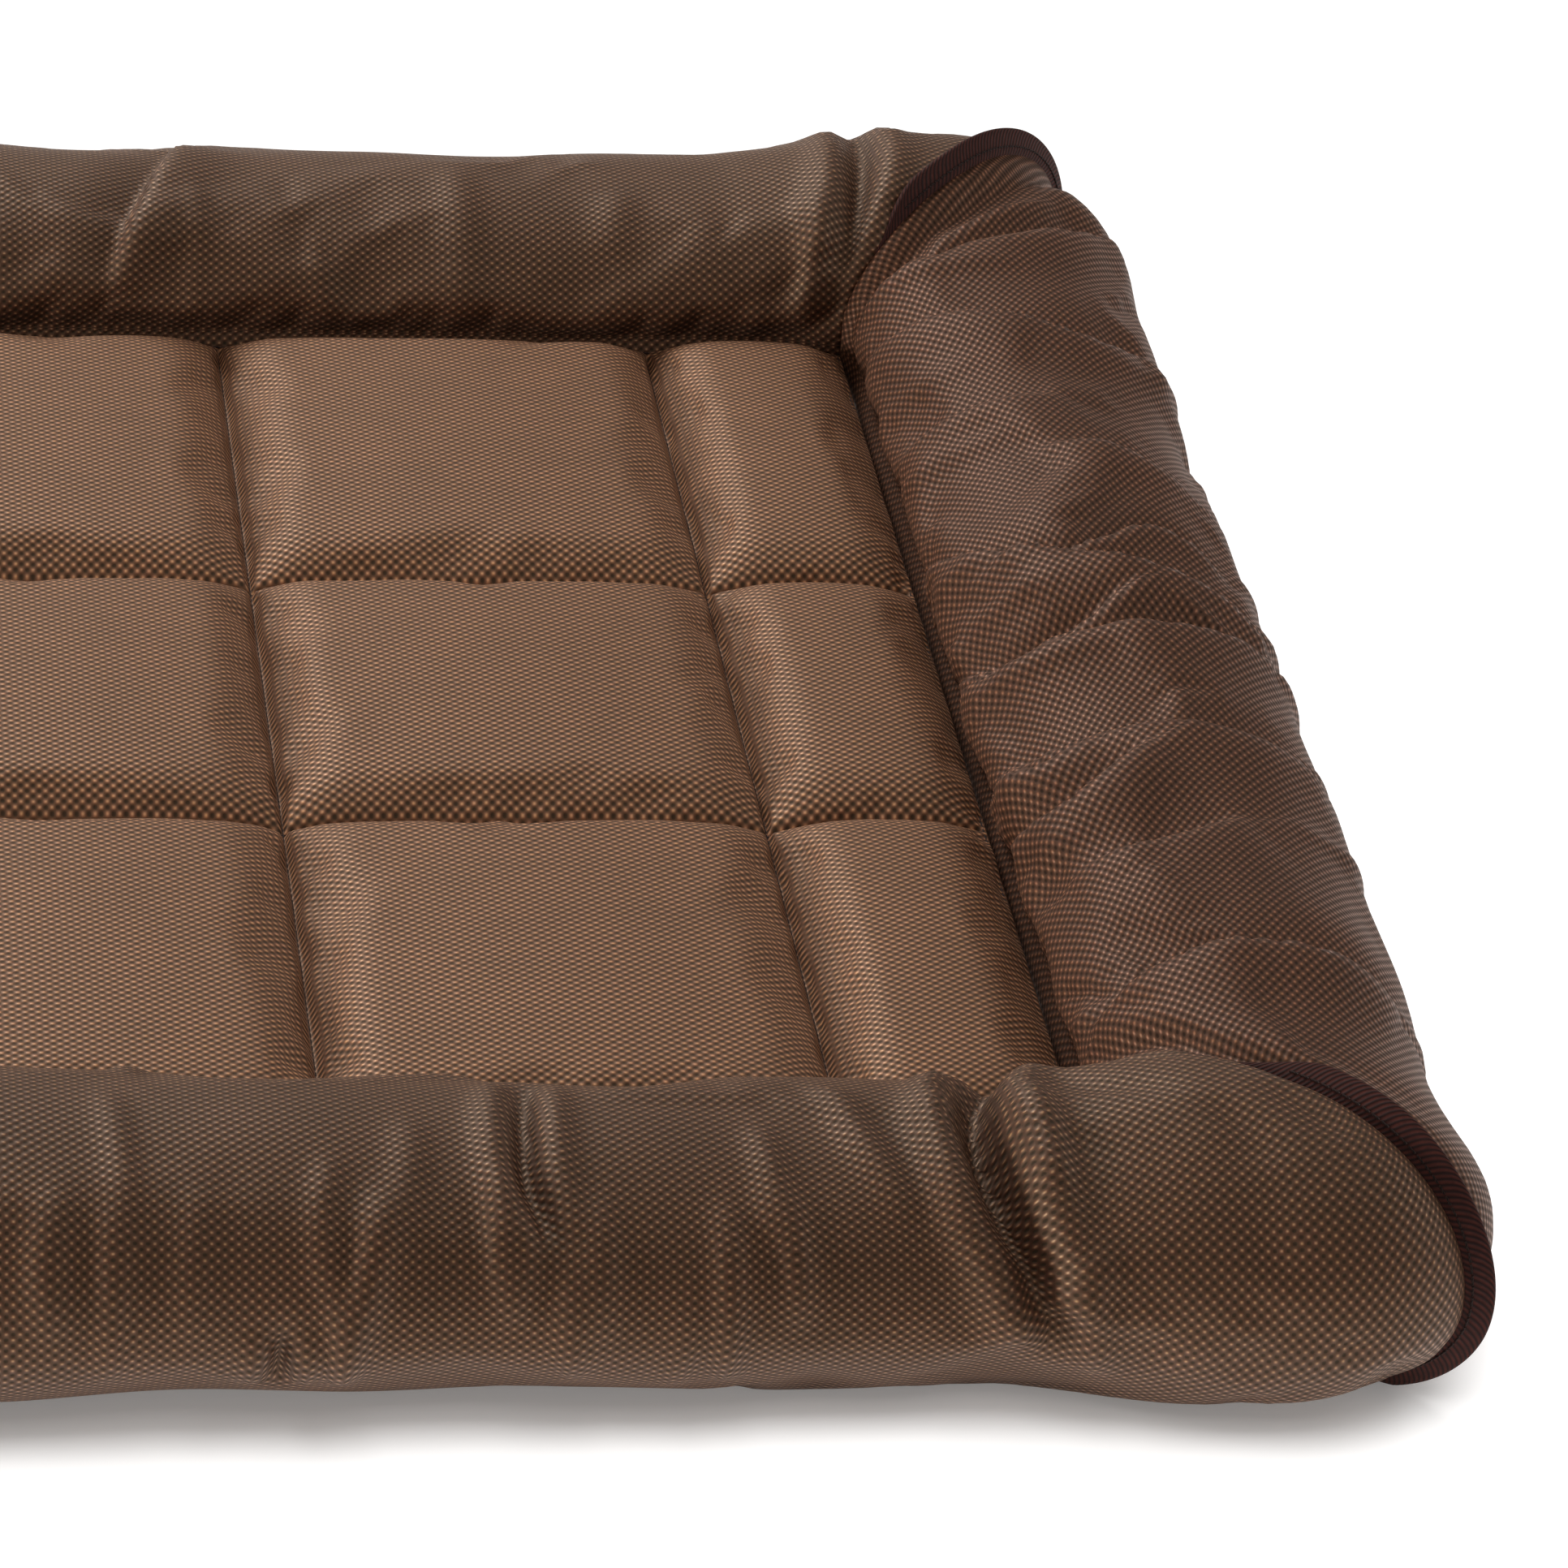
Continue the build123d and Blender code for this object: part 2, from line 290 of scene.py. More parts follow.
def fold_height(run, around, path, width, height, kind="ridge"):
    """A fold along a path of (run, around) points.

    A ridge is a soft crest, a crease is a narrow valley with a soft roll on both sides, and a
    roll is a long swelling on the path's low-run side that drops off sharply on the other side.
    """
    knots = np.array(path, float)
    fine = np.linspace(0, len(knots) - 1, 6 * len(knots))
    line = np.stack([np.interp(fine, np.arange(len(knots)), knots[:, k]) for k in (0, 1)], 1)
    for _ in range(3):
        line[1:-1] = (line[:-2] + 2 * line[1:-1] + line[2:]) / 4
    best = np.full(run.shape, 1e9)
    side = np.zeros(run.shape)
    place = np.zeros(run.shape)
    total = len(line) - 1
    for i, (a, b) in enumerate(zip(line[:-1], line[1:])):
        step = b - a
        share = np.clip(((run - a[0]) * step[0] + (around - a[1]) * step[1]) / (step @ step), 0, 1)
        dx, dy = run - a[0] - share * step[0], around - a[1] - share * step[1]
        distance = np.hypot(dx, dy)
        nearer = distance < best
        best = np.where(nearer, distance, best)
        side = np.where(nearer, np.sign(dx * step[1] - dy * step[0]) * distance, side)
        place = np.where(nearer, (i + share) / total, place)
    fade = np.sin(math.pi * np.clip(place, 0, 1)) ** 0.6 * 0.85 + 0.15
    crest = np.exp(-((best / width) ** 2))
    if kind == "crease":
        rolls = np.exp(-(((best - 2.3 * width) / (1.2 * width)) ** 2))
        return fade * height * (0.45 * rolls - crest)
    if kind == "roll":
        swelling = np.exp(-((best / (2.8 * width)) ** 2))
        hollow = (1 - 2.1 * smooth_step(0, 0.8 * width, side)) * swelling
        return ROLL_STRENGTH * fade * height * np.where(side > 0, hollow, swelling)
    return fade * height * crest


def lumps(run, around, perimeter, seed):
    """Soft unevenness of the stuffing, a few slow waves that close round the tube."""
    rng = np.random.default_rng(seed)
    total = np.zeros(run.shape)
    for _ in range(14):
        length = rng.uniform(70, 190)
        turns = rng.integers(0, 4)
        phase, twist = rng.uniform(0, 2 * math.pi, 2)
        total += np.cos(2 * math.pi * run / length + phase) * np.cos(
            2 * math.pi * turns * around / perimeter + twist
        )
    return total / 14**0.5


def gathers(seed, half_run, gap, size):
    """Small random folds that start at the border seam and fade out over the tube."""
    rng = np.random.default_rng(seed)
    found = []
    run = -half_run + rng.uniform(10, 40)
    while run < half_run - 10:
        lean = rng.normal(0, 7)
        reach = rng.uniform(25, 75)
        path = [(run, 2), (run + 0.5 * lean, 0.35 * reach), (run + lean, 0.7 * reach),
                (run + 0.8 * lean, reach)]
        found.append((path, rng.uniform(3, 5.5), size * rng.uniform(0.5, 1.5), "ridge"))
        run += rng.uniform(0.6, 1.4) * gap
    return found


def ripples(seed, half_run, gap, size):
    """Short upright puckers low on the tube's outer face."""
    rng = np.random.default_rng(seed)
    found = []
    run = -half_run + rng.uniform(10, 40)
    while run < half_run - 10:
        top = rng.uniform(95, 125)
        lean = rng.normal(0, 6)
        found.append(([(run, top), (run + lean, top + 25), (run + 1.5 * lean, top + 45)],
                      rng.uniform(3, 5), size * rng.uniform(0.4, 1.6), "ridge"))
        run += rng.uniform(0.5, 1.5) * gap
    return found


FRONT_FOLDS = [
    ([(402, 24), (391, 52), (389, 74), (391, 92), (394, 106), (399, 122), (404, 140)], 5.2, 13.0, "crease"),
    ([(406, 60), (407, 80), (407, 100)], 5.0, 3.0, "ridge"),
    ([(268, 46), (265, 70), (264, 94), (268, 112)], 3.6, 6.0, "crease"),
    ([(198, 136), (198, 156)], 3.0, 5.0, "crease"),
    ([(212, 88), (208, 106), (209, 124)], 3.6, 1.5, "ridge"),
    ([(225, 98), (221, 120), (217, 136), (214, 154)], 4.6, 2.8, "ridge"),
    ([(257, 90), (255, 112), (258, 134)], 3.0, 2.2, "ridge"),
    ([(262, 96), (262, 114), (261, 132)], 2.6, 1.6, "ridge"),
    ([(275, 120), (274, 136), (276, 156)], 4.0, 1.9, "ridge"),
    ([(283, 100), (282, 120), (283, 140)], 3.6, 1.7, "ridge"),
    ([(317, 102), (316, 124), (316, 142), (318, 158)], 3.6, 2.6, "ridge"),
    ([(329, 72), (331, 94), (328, 112)], 4.0, 1.9, "ridge"),
    ([(335, 98), (334, 118), (335, 136)], 3.4, 2.4, "ridge"),
    ([(387, 112), (394, 130), (401, 148)], 4.0, 2.4, "ridge"),
    ([(419, 112), (414, 134), (419, 156)], 4.4, 2.0, "ridge"),
    ([(350, 52), (357, 80), (366, 106)], 4.6, 2.2, "ridge"),
    ([(140, 100), (136, 120), (139, 136)], 5.0, 2.0, "ridge"),
    ([(155, 60), (157, 96), (155, 130)], 4.0, 1.0, "ridge"),
    ([(177, 98), (174, 120), (174, 138)], 4.0, 1.0, "ridge"),
    ([(235, 70), (232, 96), (226, 118)], 5.0, 1.2, "ridge"),
]
RIGHT_FOLDS = [
    ([(226, 20), (228, 34), (232, 46), (238, 64), (247, 82), (261, 102), (280, 122)], 6.5, 4.2, "roll"),
    ([(196, 14), (190, 32), (186, 50), (180, 66), (174, 82), (172, 96), (182, 118)], 6.5, 3.8, "roll"),
    ([(24, 38), (27, 54), (34, 70), (46, 86), (44, 102), (34, 112)], 3.0, 2.2, "roll"),
    ([(66, 4), (43, 22), (28, 40), (18, 54), (10, 70), (6, 88), (2, 102), (-8, 118)], 7.5, 4.8, "roll"),
    ([(-3, 4), (-19, 24), (-18, 40), (-15, 58), (0, 78)], 3.0, 2.0, "roll"),
    ([(-15, 4), (-29, 24), (-32, 38), (-30, 54), (-30, 76), (-25, 96), (-22, 116)], 7.0, 4.6, "roll"),
    ([(-72, 10), (-82, 30), (-87, 50), (-88, 72), (-88, 88), (-88, 104), (-92, 120)], 7.5, 3.4, "roll"),
    ([(-72, 2), (-84, 14), (-95, 30), (-90, 46)], 4.0, 3.0, "roll"),
    ([(-110, 6), (-119, 24), (-121, 38), (-111, 50), (-100, 62)], 5.5, 3.8, "roll"),
    ([(-153, 28), (-153, 48), (-147, 66), (-136, 84)], 8.0, 2.6, "roll"),
    ([(-222, 22), (-217, 44), (-215, 60), (-213, 80), (-214, 98), (-220, 116)], 7.5, 4.6, "roll"),
    ([(92, 60), (92, 84), (84, 108)], 8.0, 1.8, "roll"),
    ([(128, 16), (126, 40), (126, 72)], 8.0, 1.6, "roll"),
    ([(256, 58), (270, 76), (284, 94)], 4.5, 2.4, "roll"),
    ([(-4, 84), (-12, 96), (-18, 106)], 2.4, 1.4, "ridge"),
]
BACK_FOLDS = [
    ([(-184, 16), (-190, 34), (-195, 50), (-204, 76), (-210, 96)], 6.0, 3.4, "roll"),
    ([(-430, 6), (-433, 20), (-438, 50), (-443, 78), (-444, 104)], 5.0, 8.0, "crease"),
    ([(-418, 8), (-422, 30), (-420, 54)], 4.5, 2.2, "ridge"),
    ([(-300, 4), (-300, 34), (-300, 72)], 7.0, 1.4, "ridge"),
    ([(-352, 30), (-356, 60)], 7.0, 1.2, "ridge"),
]
LEFT_FOLDS = [
    ([(-run, around) for run, around in path], width, 0.8 * height, "ridge")
    for path, width, height, _ in RIGHT_FOLDS
]

# How much higher or lower the stuffing leaves the top of each bolster, along its run.
FRONT_TOP = [(60, 4.0), (100, 5.0), (180, 2.0), (250, -1.0), (330, -3.0), (385, -5.5),
             (425, -1.5), (470, 1.0)]
BACK_TOP = [(-440, 0.0), (-400, 1.0), (-340, -0.5), (-200, -1.0), (0, 0.0)]
LEVEL_TOP = [(0, 0.0)]

BOLSTERS = {
    "front": dict(turn=0, folds=FRONT_FOLDS, top=FRONT_TOP, seed=11, lump=0.7, gap=70, small=0.8),
    "right": dict(turn=90, folds=RIGHT_FOLDS, top=LEVEL_TOP, seed=23, lump=1.2, gap=58, small=0.9),
    "back": dict(turn=180, folds=BACK_FOLDS, top=BACK_TOP, seed=37, lump=0.8, gap=64, small=0.7),
    "left": dict(turn=270, folds=LEFT_FOLDS, top=LEVEL_TOP, seed=41, lump=1.2, gap=58, small=0.9),
}


def bolster_grid(turn, folds, top, seed, lump, gap, small, fineness):
    """A bolster's skin as a grid of points, with its flat cloth coordinates and its pin weights.

    At fineness 1 it is the plain stuffed tube to simulate, at fineness 2 it has its folds too.
    """
    along_half = half_length if turn % 180 == 0 else half_depth
    across_half = half_depth if turn % 180 == 0 else half_length
    inner_half = along_half - tube_width
    out, up, around, perimeter = tube_section(AROUND * fineness)
    columns = int(2 * (inner_half + tube_width / 2) / RUN_STEP_MM) * fineness
    share = np.linspace(-1, 1, columns + 1)[:, None]
    from_seam = (out + tube_width / 2)[None, :]
    run = share * inner_half + np.sign(share) * np.abs(share) ** 5 * from_seam
    around = np.broadcast_to(around[None, :], run.shape)
    to_mitre = inner_half + from_seam - np.abs(run)
    to_mitre_middle = inner_half + tube_width / 2 - np.abs(run)

    over_top = np.sin(math.pi * np.clip(around / (0.68 * perimeter), 0, 1)) ** 0.7
    if turn % 180 == 0:
        swell = BALL_MM * over_top * smooth_step(95, 30, to_mitre_middle)
        swell = swell - 1.5 * over_top * np.exp(-((to_mitre / 5) ** 2))
    else:
        swell = BALL_MM * over_top * smooth_step(70, 20, to_mitre_middle) * 0.25
        swell = swell + (0.75 * BALL_MM - 1.5) * over_top * np.exp(-((to_mitre / 6) ** 2))
        swell = swell - 4.5 * over_top * np.exp(-(((to_mitre - 15) / 7) ** 2))
    free = 1 - np.exp(-((to_mitre / 16) ** 2))
    at_seam = np.minimum(around, perimeter - around)
    free_of_border = 1 - np.exp(-((at_seam / 9) ** 2))
    shape = lump * lumps(run, around, perimeter, seed) * free_of_border
    if fineness > 1:
        random_folds = gathers(seed, inner_half, gap, small) + ripples(seed, inner_half, 60, small)
        for path, width, height, kind in folds + random_folds:
            strength = RIDGE_STRENGTH if kind == "ridge" else 1.0
            shape = shape + fold_height(run, around, path, width, strength * height, kind)
    border_pull = -5.0 * np.exp(-((at_seam / 7) ** 2))
    crest = np.interp(run, *zip(*top)) * over_top
    lift = (shape + crest + border_pull) * free + swell

    normal_out = np.gradient(up)
    normal_up = -np.gradient(out)
    size = np.hypot(normal_out, normal_up)
    flip = np.sign((normal_out * out).sum())
    normal_out, normal_up = flip * normal_out / size, flip * normal_up / size
    outward = out[None, :] + lift * normal_out[None, :]
    height = np.maximum(up[None, :] + lift * normal_up[None, :], FABRIC_MM)
    outward = np.clip(outward, -tube_width / 2 + 0.6, tube_width / 2 + 9)

    sharp_x = np.abs(run) + (outward - out[None, :]) * smooth_step(30, 0, to_mitre)
    past_x = sharp_x - (along_half - CORNER_RADIUS_MM)
    past_out = outward + tube_width / 2 - (tube_width - CORNER_RADIUS_MM)
    corner = (past_x > 0) & (past_out > 0)
    to_round = np.maximum(past_x, past_out) / np.maximum(np.hypot(past_x, past_out), 1e-6)
    squeeze = np.where(corner, to_round, 1)
    plan_x = np.sign(run) * (along_half - CORNER_RADIUS_MM + past_x * squeeze)
    plan_out = tube_width - CORNER_RADIUS_MM + past_out * squeeze + across_half - tube_width
    points = np.stack([plan_x, -plan_out, height], -1) * MM
    cos, sin = round(math.cos(math.radians(turn))), round(math.sin(math.radians(turn)))
    points = np.stack([cos * points[..., 0] - sin * points[..., 1],
                       sin * points[..., 0] + cos * points[..., 1], points[..., 2]], -1)
    pins = np.zeros(run.shape)
    pins[[0, -1], :] = 1
    pins[:, [0, -1]] = 1
    pins[:, around[0] > 0.8 * perimeter] = 1
    return points, np.stack([run, around], -1), perimeter, pins


def sheet_mesh(name, points, flat, wrap_mm=None):
    """A mesh object of quads over a grid of points, with its flat coordinates as a UV map.

    With wrap_mm the grid closes on itself the second way, and wrap_mm is its length round.
    """
    rows, columns = points.shape[:2]
    index = np.arange(rows * columns).reshape(rows, columns)
    if wrap_mm is not None:
        index = np.concatenate([index, index[:, :1]], 1)
        last = flat[:, :1] + np.array([0, wrap_mm])
        flat = np.concatenate([flat, last], 1)
    corners = [index[:-1, :-1], index[1:, :-1], index[1:, 1:], index[:-1, 1:]]
    quads = np.stack(corners, -1).reshape(-1, 4)
    places = [flat[:-1, :-1], flat[1:, :-1], flat[1:, 1:], flat[:-1, 1:]]
    uv = np.stack(places, 2).reshape(-1, 2)
    mesh = bpy.data.meshes.new(name)
    mesh.from_pydata(points.reshape(-1, 3).tolist(), [], quads.tolist())
    mesh.uv_layers.new(name=CLOTH_MAP).data.foreach_set("uv", uv.ravel())
    mesh.shade_smooth()
    return put_in_scene(name, mesh)


def puff_up(piece, pins, pressure, growth):
    """Gives a piece of cloth its pins, its inside pressure and a little spare cloth to gather."""
    group = piece.vertex_groups.new(name="sewn")
    for weight in np.unique(pins[pins > 0]):
        group.add(np.flatnonzero(pins.ravel() == weight).tolist(), float(weight), "REPLACE")
    cloth = piece.modifiers.new("cloth", "CLOTH")
    for setting, value in dict(
        vertex_group_mass="sewn", quality=5, mass=0.3, tension_stiffness=25, compression_stiffness=25,
        shear_stiffness=8, bending_stiffness=1.2, use_pressure=True, uniform_pressure_force=pressure,
        shrink_min=-growth,
    ).items():
        setattr(cloth.settings, setting, value)
    cloth.settings.effector_weights.gravity = 0
    cloth.collision_settings.use_collision = False


def moved_by_cloth(piece, start, cap_mm):
    """How far the simulation moved each point, no more than the cap."""
    graph = bpy.context.evaluated_depsgraph_get()
    moved = np.empty(start.size, np.float32)
    piece.evaluated_get(graph).data.vertices.foreach_get("co", moved)
    shift = moved.reshape(start.shape).astype(float) - start
    far = np.linalg.norm(shift, axis=-1, keepdims=True)
    return shift * np.minimum(1, cap_mm * MM / np.maximum(far, 1e-9))


def twice_as_fine(grid, closed):
    """A grid of vectors with a smooth midpoint between every two rows and every two columns."""
    for axis, wrap in ((0, False), (1, closed)):
        grid = np.moveaxis(grid, axis, 0)
        if wrap:
            padded = np.concatenate([grid[-1:], grid, grid[:2]])
        else:
            padded = np.concatenate([2 * grid[:1] - grid[1:2], grid, 2 * grid[-1:] - grid[-2:-1]])
        middle = (9 * (padded[1:-2] + padded[2:-1]) - padded[:-3] - padded[3:]) / 16
        finer = np.empty((len(grid) + len(middle),) + grid.shape[1:])
        finer[0::2], finer[1::2] = grid, middle
        grid = np.moveaxis(finer, 0, axis)
    return grid


def finish_cloth(piece, thickness_mm=FABRIC_MM):
    """Gives the cloth its thickness, outwards on the covers and inwards on the mat's panels."""
    wall = piece.modifiers.new("cloth_thickness", "SOLIDIFY")
    wall.thickness = thickness_mm * MM
    wall.offset = -1


cover_shift, cover_final, cover_flat = {}, {}, {}
tubes = {}
for side, facts in BOLSTERS.items():
    points, flat, perimeter, pins = bolster_grid(**facts, fineness=1)
    cover_shift[side] = np.zeros(points.shape)
    tubes[side] = sheet_mesh(f"{side}_tube", points, flat, wrap_mm=perimeter), points
    puff_up(tubes[side][0], pins, pressure=1.2, growth=0.012)
if tubes:
    for moment in SIMULATED_MOMENTS:
        bpy.context.scene.frame_set(moment)
    for side, (tube, points) in tubes.items():
        cover_shift[side] = moved_by_cloth(tube, points, cap_mm=COVER_SHIFT_MM)
    for tube, _ in tubes.values():
        bpy.data.objects.remove(tube)
    bpy.context.scene.frame_set(1)
for side, facts in BOLSTERS.items():
    points, flat, perimeter, _ = bolster_grid(**facts, fineness=2)
    points = points + twice_as_fine(cover_shift[side], closed=True)
    points[..., 2] = np.maximum(points[..., 2], FABRIC_MM * MM)
    cover = sheet_mesh(f"{side}_cover", points, flat, wrap_mm=perimeter)
    # The front and back bolsters take the plain cloth, and the end bolsters the copy with darker yarn
    # crowns, painted shade.
    cover.data.materials.append(nylon if side in ("front", "back") else nylon_painted_shade)
    finish_cloth(cover)
    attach(cover, "root")
    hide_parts(f"{side}_bolster_cover")
    cover_final[side], cover_flat[side] = points, flat

# ---- quilted top panel ---------------------------------------------------------------------------
# One cut of the nylon, sewn down along two rows and six columns so that the wadding swells
# between the seams into plump cells with rounded shoulders and small puckers at the seams.
SHOULDER_MM = 20.0
SEAM_SINK_MM = 2.4  # how far the stitches pull the cloth down into the wadding
CELL_QUADS = 22  # in the simulation, twice as many in the finished cloth
OVERFILL_MM = 1.0  # how much the wadding lifts the crowns of the cells
PANEL_SHIFT_MM = 1.2  # the most that the simulation may move the panel
mat_low, mat_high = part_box("mat_top_panel")
mat_half_x, mat_half_y = mat_high.x / MM, mat_high.y / MM
seam_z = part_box("mat_border_seam_thread")[0].z / MM
crown_mm = mat_high.z / MM - seam_z + OVERFILL_MM
column_boxes = [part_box(f"column_seam_thread_{number}") for number in range(1, 7)]
column_seams = [(low.x + high.x) / 2 / MM for low, high in column_boxes]
row_boxes = [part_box(f"{row}_row_seam_thread") for row in ("front", "back")]
row_seams = [(low.y + high.y) / 2 / MM for low, high in row_boxes]


def cell_stops(seams, half_span, quads):
    """Grid lines across the cells, closer together near the seams, and the seams themselves."""
    edges = [-half_span] + sorted(seams) + [half_span]
    stops = [edges[0]]
    spacing = (1 - np.cos(np.linspace(0, math.pi, quads + 1))) / 2
    spacing = 0.88 * spacing + 0.12 * np.linspace(0, 1, quads + 1)
    for low, high in zip(edges, edges[1:]):
        stops += list(low + (high - low) * spacing[1:])
    return np.array(stops), np.array(edges)


def cell_rise(stops, edges):
    """How full a cell is at each grid line, 0 on a seam and 1 inside the shoulders."""
    distance = np.min(np.abs(stops[:, None] - edges[None, :]), axis=1)
    share = np.clip(distance / SHOULDER_MM, 0, 1)
    cell = np.clip(np.searchsorted(edges, stops) - 1, 0, len(edges) - 2)
    across = (stops - edges[cell]) / (edges[cell + 1] - edges[cell])
    dome = 0.78 + 0.22 * (1 - (2 * across - 1) ** 2)
    return dome * (1 - (1 - share) ** 2.1) ** (1 / 1.45)


def puckers(along, across, seams, seed):
    """Small ripples that run away from each seam, where the stitches gather the cloth."""
    rng = np.random.default_rng(seed)
    total = np.zeros(along.shape)
    for seam in seams:
        away = np.abs(across - seam)
        waves = sum(np.sin(along / rng.uniform(1.7, 5.5) + rng.uniform(0, 6.3)) for _ in range(5)) / 5**0.5
        patchy = 0.6 + 0.4 * np.sin(along / rng.uniform(14, 30) + rng.uniform(0, 6.3))
        total += waves * patchy * np.exp(-((away - 5) / 5.5) ** 2)
    return total


def mat_grid(quads):
    """The quilted panel as a grid of points, in millimetres, and where it is sewn down."""
    x_stops, x_edges = cell_stops(column_seams, mat_half_x, quads)
    y_stops, y_edges = cell_stops(row_seams, mat_half_y, quads)
    x, y = np.meshgrid(x_stops, y_stops, indexing="ij")
    rise = cell_rise(x_stops, x_edges)[:, None] * cell_rise(y_stops, y_edges)[None, :]
    rng = np.random.default_rng(5)
    wander = 0
    for _ in range(10):
        x_length, y_length = rng.uniform(18, 60, 2)
        x_phase, y_phase = rng.uniform(0, 2 * math.pi, 2)
        wander = wander + np.cos(x / x_length + x_phase) * np.cos(y / y_length + y_phase)
    z = seam_z + rise * crown_mm + 0.2 * wander / 10**0.5 * rise
    z += 0.3 * puckers(y, x, x_edges, seed=8) + 0.16 * puckers(x, y, y_edges, seed=9)
    sewn = np.isin(x_stops, x_edges)[:, None] | np.isin(y_stops, y_edges)[None, :]
    from_column = np.abs(x[..., None] - np.array(column_seams)).min(-1)
    from_row = np.abs(y[..., None] - np.array(row_seams)).min(-1)
    from_border = np.minimum(mat_half_x - np.abs(x), mat_half_y - np.abs(y))
    sunk = np.exp(-((np.minimum(from_column, from_row) / 1.1) ** 2)) * smooth_step(0, 6, from_border)
    z = np.where(sewn, seam_z, z) - SEAM_SINK_MM * sunk
    return x, y, z, sewn


mat_x, mat_y, mat_z, sewn = mat_grid(CELL_QUADS)
mat_shift = np.zeros(mat_x.shape + (3,))
mat_start = np.stack([mat_x, mat_y, mat_z], -1) * MM
panel = sheet_mesh("panel_to_puff", mat_start, np.stack([mat_x, mat_y], -1))
puff_up(panel, sewn.astype(float), pressure=1.5, growth=0.006)
for moment in SIMULATED_MOMENTS:
    bpy.context.scene.frame_set(moment)
mat_shift = moved_by_cloth(panel, mat_start, cap_mm=PANEL_SHIFT_MM)
bpy.data.objects.remove(panel)
bpy.context.scene.frame_set(1)
mat_x, mat_y, mat_z, sewn = mat_grid(2 * CELL_QUADS)
mat_final = np.stack([mat_x, mat_y, mat_z], -1) * MM + twice_as_fine(mat_shift, closed=False)
mat_final[..., 2] = np.maximum(mat_final[..., 2], (seam_z - SEAM_SINK_MM) * MM)
top_panel = sheet_mesh("quilted_top_panel", mat_final, np.stack([mat_x, mat_y], -1))
# The mat's top panel takes the copy of the cloth with lighter tones, painted light.
top_panel.data.materials.append(nylon_painted_light)
finish_cloth(top_panel)
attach(top_panel, "root")
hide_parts("mat_top_panel")

# ---- bolster stuffing ----------------------------------------------------------------------------
# White hollow polyester fibre, packed to the shape of each cover. It is out of sight, and matt,
# with the soft clumps of carded fibre.
WADDING_GAP_MM = 1.6


def white_polyester(name, clump_mm):
    material, tree, output = new_material(name)
    place = add_node(tree, "ShaderNodeTexCoord")
    clumps = add_node(tree, "ShaderNodeTexNoise",
                      {"Scale": 1 / (clump_mm * MM), "Detail": 6.0, "Roughness": 0.7},
                      Vector=place.outputs["Object"])
    colour = add_node(tree, "ShaderNodeMix",
                      {"data_type": "RGBA", 6: linear("d9d8d2"), 7: linear("f4f3ee")},
                      i0=clumps.outputs["Fac"])
    bump = add_node(tree, "ShaderNodeBump", {"Strength": 0.5, "Distance": 0.8 * MM},
                    Height=clumps.outputs["Fac"])
    fibre = add_node(tree, "ShaderNodeBsdfPrincipled", {"Roughness": 0.95, "Sheen Weight": 0.3},
                     Base_Color=colour.outputs[2], Normal=bump.outputs[0])
    tree.links.new(fibre.outputs[0], output.inputs["Surface"])
    return material


fibre_fill = white_polyester("loose_polyester_fibre", clump_mm=14)


def closed_tube(name, rings):
    """A closed mesh over rings of points, with a point in the middle of each end."""
    count, across = rings.shape[:2]
    index = np.arange(count * across).reshape(count, across)
    following = np.roll(index, -1, axis=1)
    quads = np.stack([index[:-1], index[1:], following[1:], following[:-1]], -1).reshape(-1, 4).tolist()
    first, last = count * across, count * across + 1
    quads += [(first, a, b) for a, b in zip(index[0], following[0])]
    quads += [(last, b, a) for a, b in zip(index[-1], following[-1])]
    ends = np.stack([rings[0].mean(0), rings[-1].mean(0)])
    mesh = bpy.data.meshes.new(name)
    mesh.from_pydata(np.concatenate([rings.reshape(-1, 3), ends]).tolist(), [], quads)
    mesh.shade_smooth()
    return put_in_scene(name, mesh)


for side in BOLSTERS:
    rings = cover_final[side][4:-4:2, ::2]
    middle = rings.mean(1, keepdims=True)
    from_middle = rings - middle
    reach_out = np.linalg.norm(from_middle, axis=-1)
    least = reach_out.copy()
    for _ in range(2):
        least[1:-1] = np.minimum(least[1:-1], np.minimum(least[:-2], least[2:]))
        least = np.minimum(least, np.minimum(np.roll(least, 1, 1), np.roll(least, -1, 1)))
    inset = (least - (FABRIC_MM + WADDING_GAP_MM) * MM) / reach_out
    rings = middle + from_middle * inset[..., None]
    fill = closed_tube(f"{side}_stuffing", rings)
    fill.data.materials.append(fibre_fill)
    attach(fill, "root")
    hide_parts(f"{side}_bolster_fill")

# ---- corner binding tapes ------------------------------------------------------------------------
# A dark brown twill tape folded over the raw edges of each mitre seam. It tapers out of the seam
# near the top of the tube and stands up as a fin round the outer corner, down to the floor.
TAPE_PROUD_MM = 9.5
TAPE_HALF_THICKNESS_MM = 1.25
TAPE_START_MM = {"front": 50.0, "back": 30.0}  # measured round the tube from the border seam
TAPE_LEAN_DEGREES = {"front": 58.0, "back": 30.0}  # how far the fin tips over, towards the rear
TAPE_TAPER_MM = 22.0
TWILL_MM = 1.5


